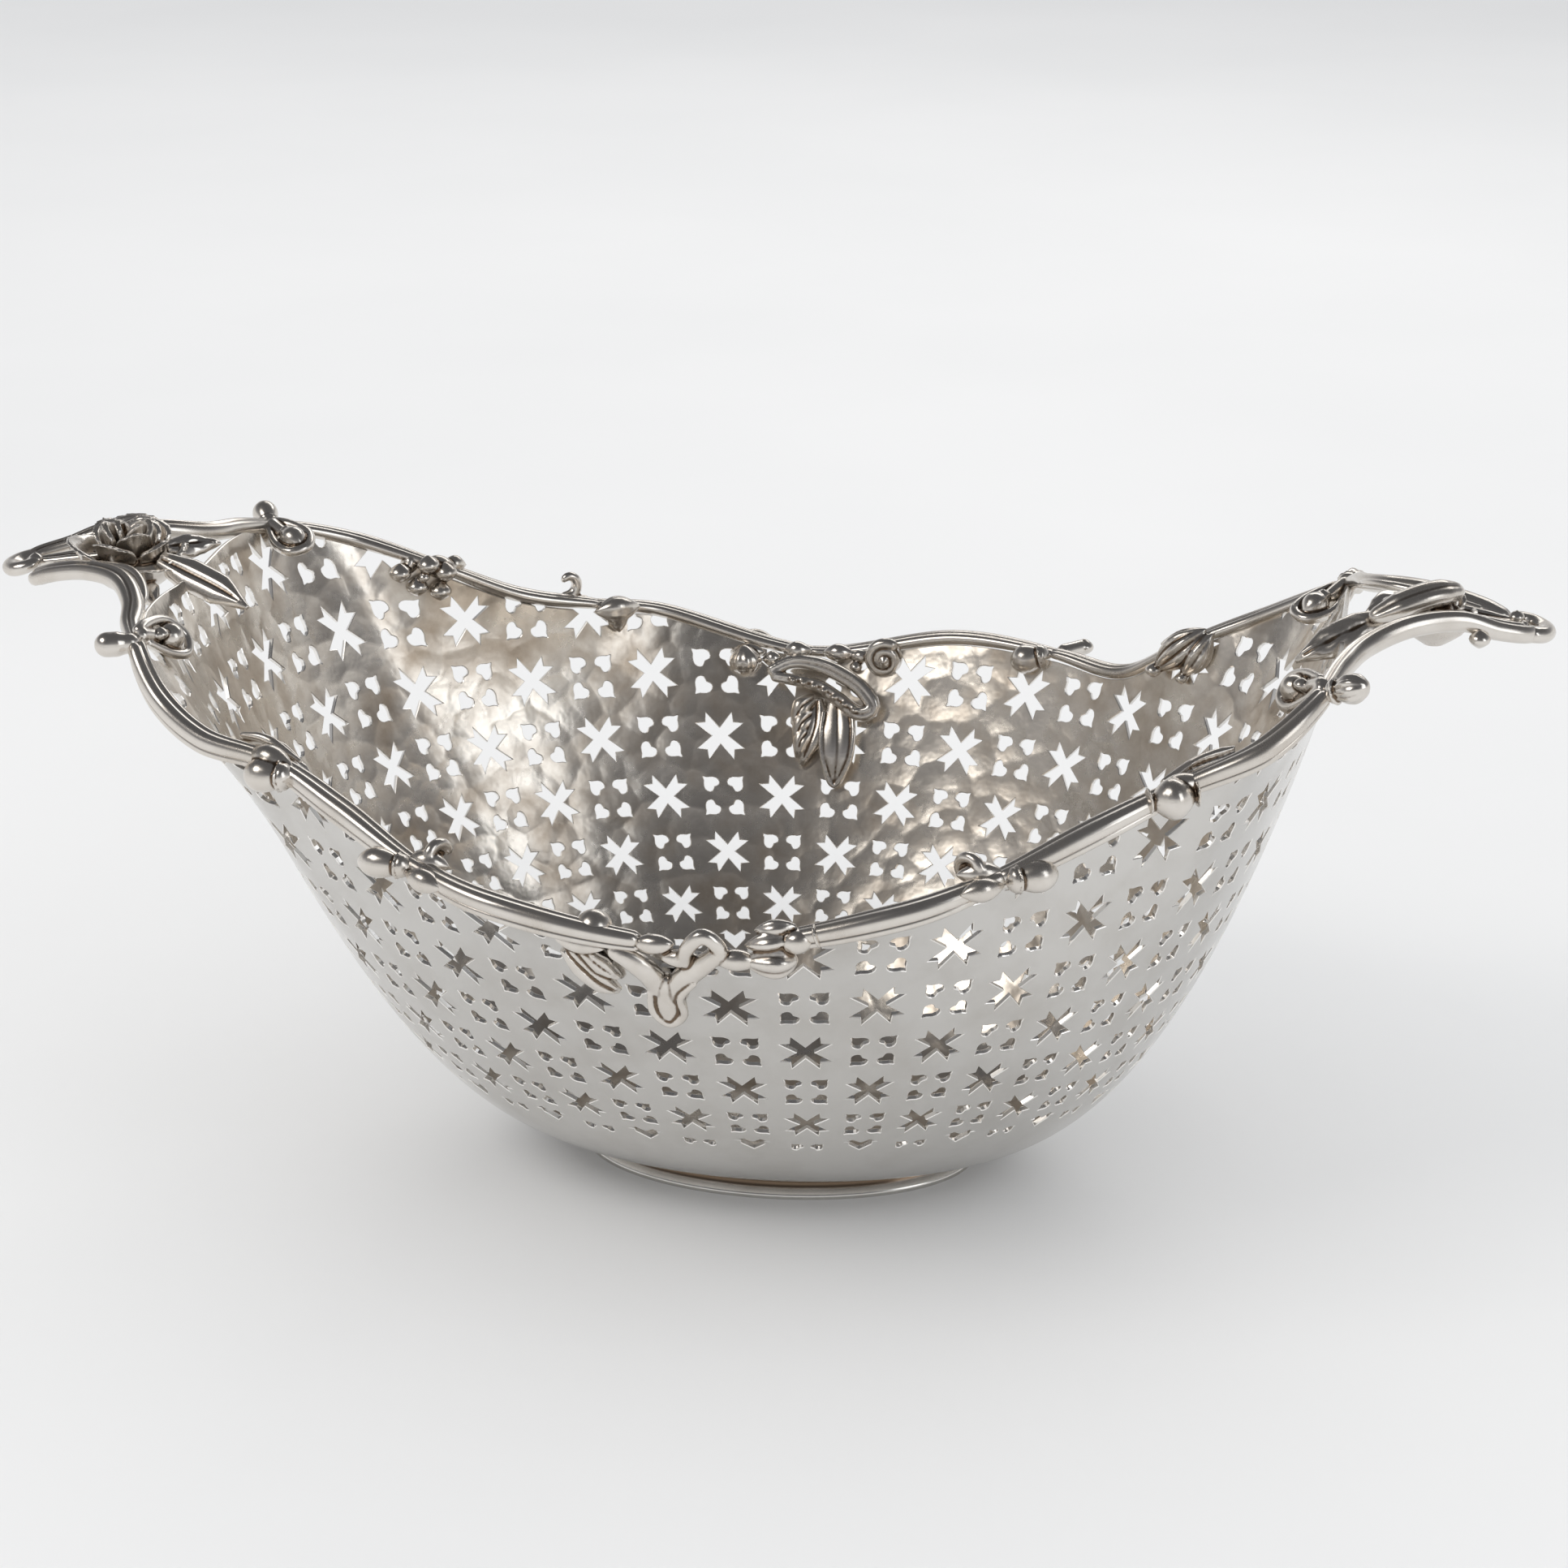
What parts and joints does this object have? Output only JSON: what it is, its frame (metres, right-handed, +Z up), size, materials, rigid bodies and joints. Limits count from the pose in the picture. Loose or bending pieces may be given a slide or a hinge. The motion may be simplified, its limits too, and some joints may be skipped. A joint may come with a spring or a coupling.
{
  "type": "fruit bowl",
  "caption": "Oval pierced silver fruit bowl on a low oval foot, with a cast scroll rim, buds and knots, and two rose handles.",
  "frame": {"origin": "on the surface that the bowl stands on, under the middle of its outer box", "axes": "+X along the bowl's length to the right handle, +Y to the far long side, +Z up"},
  "size_m": [0.323, 0.1817, 0.1363],
  "materials": {
    "silver": "polished",
    "cast_silver": "worn polish"
  },
  "bodies": {
    "root": {"bowl_body": "silver", "foot_ring": "silver", "handle_knob_far_right": "cast_silver", "inner_scroll_far_right": "cast_silver", "handle_knob_far_left": "cast_silver", "inner_scroll_far_left": "cast_silver", "handle_knob_near_left": "cast_silver", "inner_scroll_near_left": "cast_silver", "handle_knob_near_right": "cast_silver", "inner_scroll_near_right": "cast_silver", "rim_knot_near_left": "cast_silver", "knot_leaf_near_left": "cast_silver", "rim_knot_near_right": "cast_silver", "knot_leaf_near_right": "cast_silver", "rim_knot_far_left": "cast_silver", "rim_knot_far_right": "cast_silver", "outer_bud_far_right": "cast_silver", "inner_bud_far_right": "cast_silver", "outer_bud_far_left": "cast_silver", "inner_bud_far_left": "cast_silver", "outer_bud_near_left": "cast_silver", "inner_bud_near_left": "cast_silver", "outer_bud_near_right": "cast_silver", "inner_bud_near_right": "cast_silver", "crest_near_ribbon": "cast_silver", "crest_near_leaf": "cast_silver", "crest_near_dome": "cast_silver", "crest_near_shell": "cast_silver", "crest_far_loop": "cast_silver", "crest_far_fluted_leaf": "cast_silver", "crest_far_pointed_leaf": "cast_silver", "crest_far_ball": "cast_silver", "crest_far_snail": "cast_silver", "rim_rail_end_far_right": "cast_silver", "rim_rail_middle_far_right": "cast_silver", "rim_rail_centre_far_right": "cast_silver", "rim_rail_end_far_left": "cast_silver", "rim_rail_middle_far_left": "cast_silver", "rim_rail_centre_far_left": "cast_silver", "rim_rail_end_near_left": "cast_silver", "rim_rail_middle_near_left": "cast_silver", "rim_rail_centre_near_left": "cast_silver", "rim_rail_end_near_right": "cast_silver", "rim_rail_middle_near_right": "cast_silver", "rim_rail_centre_near_right": "cast_silver", "handle_tip_right": "cast_silver", "handle_long_bar_right": "cast_silver", "handle_short_bar_right": "cast_silver", "handle_rose_right": "cast_silver", "handle_stem_right": "cast_silver", "handle_large_leaf_right": "cast_silver", "handle_small_leaf_right": "cast_silver", "handle_tip_left": "cast_silver", "handle_long_bar_left": "cast_silver", "handle_short_bar_left": "cast_silver", "handle_rose_left": "cast_silver", "handle_stem_left": "cast_silver", "handle_large_leaf_left": "cast_silver", "handle_small_leaf_left": "cast_silver"}
  },
  "joints": []
}
